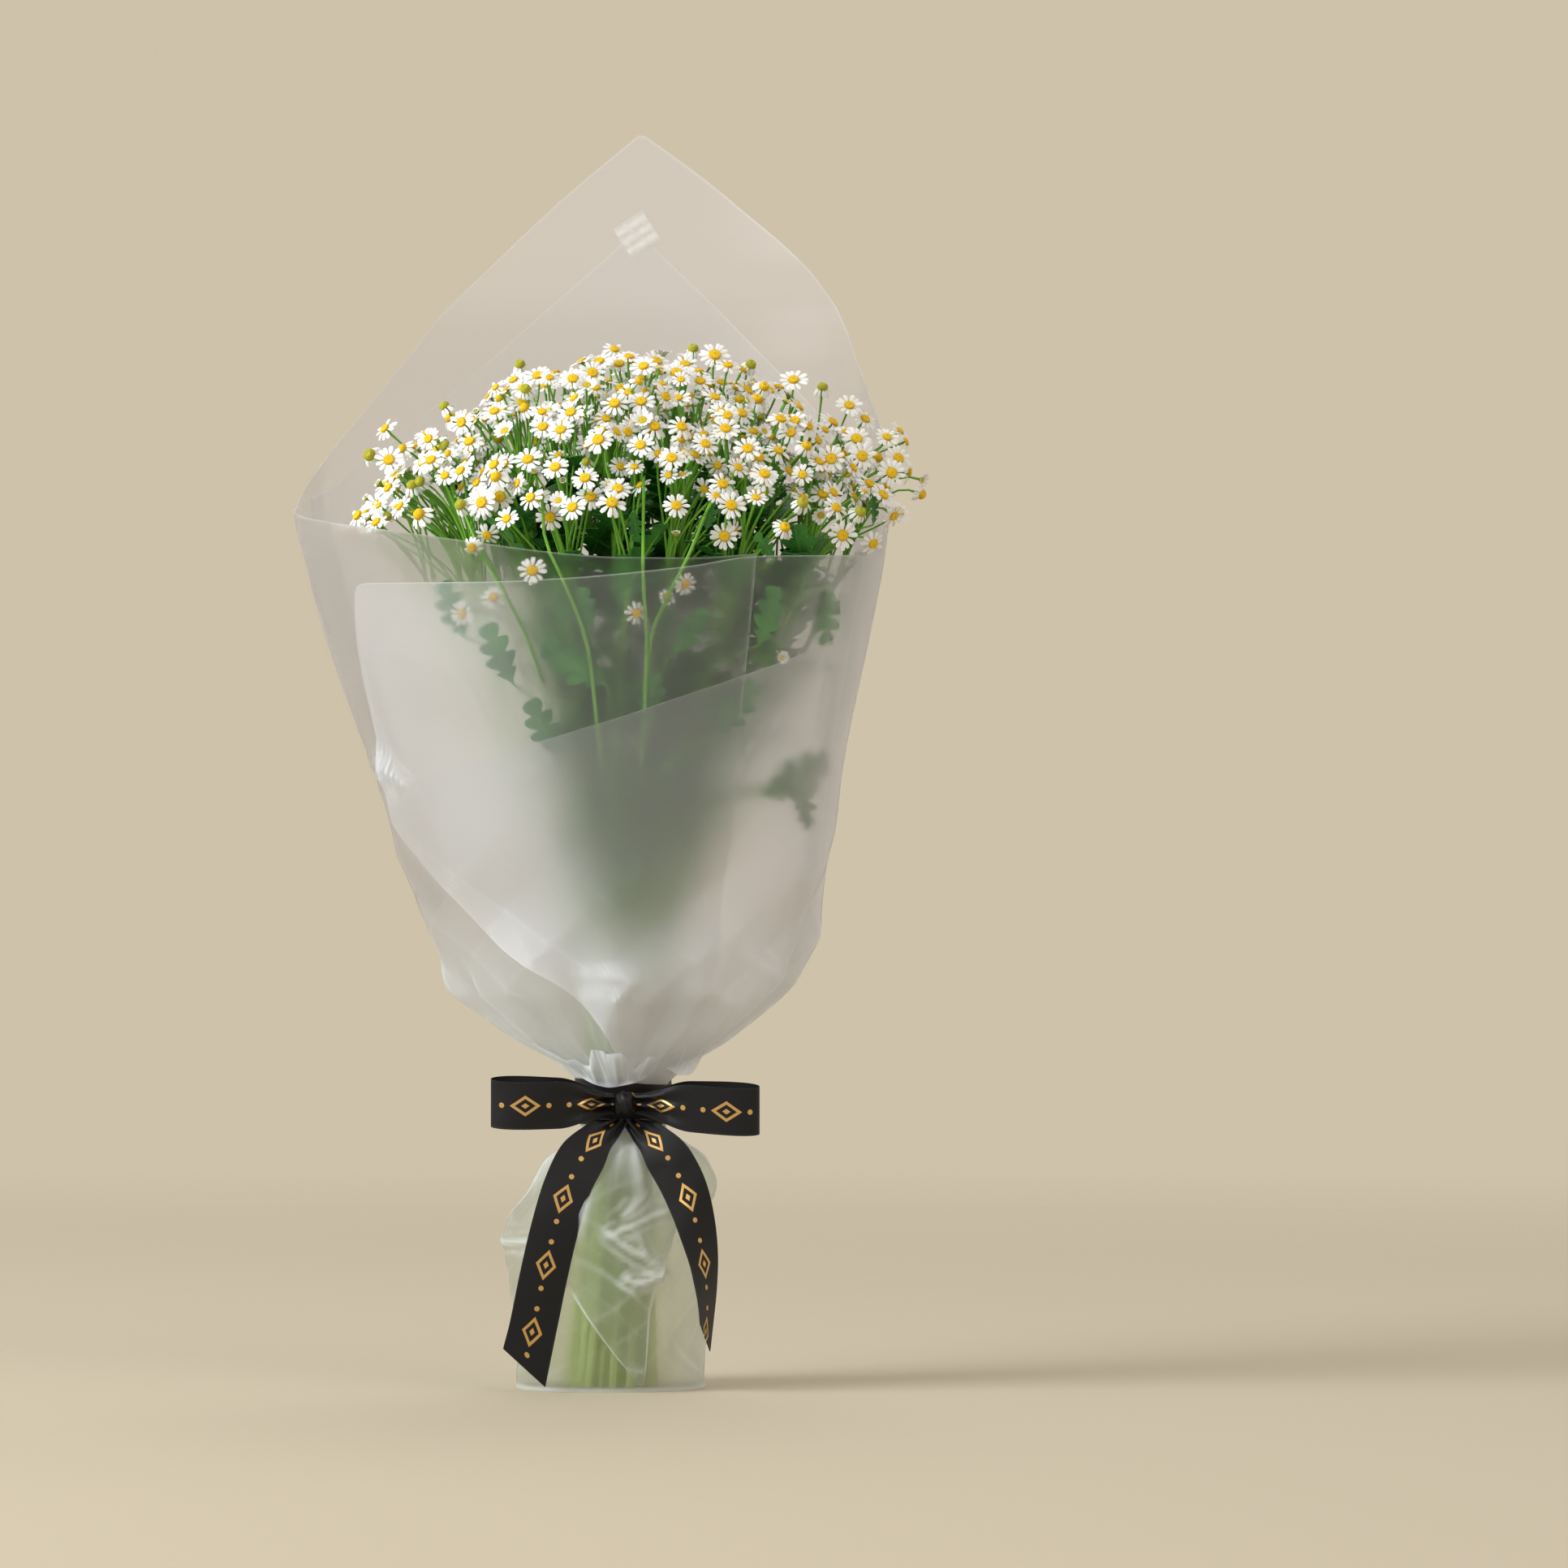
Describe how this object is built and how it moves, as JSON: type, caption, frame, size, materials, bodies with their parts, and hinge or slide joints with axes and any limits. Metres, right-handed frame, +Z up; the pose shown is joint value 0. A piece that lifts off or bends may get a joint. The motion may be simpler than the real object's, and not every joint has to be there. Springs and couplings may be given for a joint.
{
  "type": "bunch of daisies",
  "caption": "Hand-tied bunch of small white daisies with yellow centres, wrapped in frosted film, tied with a black satin bow, standing on its wrapped cut stems.",
  "frame": {"origin": "on the flat underside of the foot bag, where the axis of the binding meets it", "axes": "+Z up along the bunch, -Y towards the front with the bow, +X to the right seen from the front"},
  "size_m": [0.3262, 0.2433, 0.676],
  "materials": {
    "daisy": "living plant: matt green stems and leaves, white petals, yellow centres",
    "film": "frosted translucent wrapping film, satin sheen",
    "satin": "black single-face satin ribbon, soft sheen",
    "twine": "matt jute twine",
    "tape": "clear glossy adhesive tape"
  },
  "bodies": {
    "root": {"spray_01": "daisy", "spray_02": "daisy", "spray_03": "daisy", "spray_04": "daisy", "spray_05": "daisy", "spray_06": "daisy", "spray_07": "daisy", "spray_08": "daisy", "spray_09": "daisy", "spray_10": "daisy", "spray_11": "daisy", "spray_12": "daisy", "spray_13": "daisy", "spray_14": "daisy", "spray_15": "daisy", "spray_16": "daisy", "spray_17": "daisy", "spray_18": "daisy", "spray_19": "daisy", "spray_20": "daisy", "spray_21": "daisy", "spray_22": "daisy", "spray_23": "daisy", "spray_24": "daisy", "spray_25": "daisy", "spray_26": "daisy", "spray_27": "daisy", "spray_28": "daisy", "spray_29": "daisy", "spray_30": "daisy", "spray_31": "daisy", "spray_32": "daisy", "spray_33": "daisy", "spray_34": "daisy", "spray_35": "daisy", "spray_36": "daisy", "spray_37": "daisy", "spray_38": "daisy", "spray_39": "daisy", "spray_40": "daisy", "binding_twine": "twine", "film_inner_sheet": "film", "film_middle_sheet": "film", "film_back_sheet": "film", "film_front_sheet": "film", "film_hanging_corner": "film", "foot_bag": "film", "ribbon_band": "satin", "ribbon_knot": "satin", "bow_loop_left": "satin", "bow_loop_right": "satin", "ribbon_tail_left": "satin", "ribbon_tail_right": "satin", "clear_tape": "tape"}
  },
  "joints": []
}
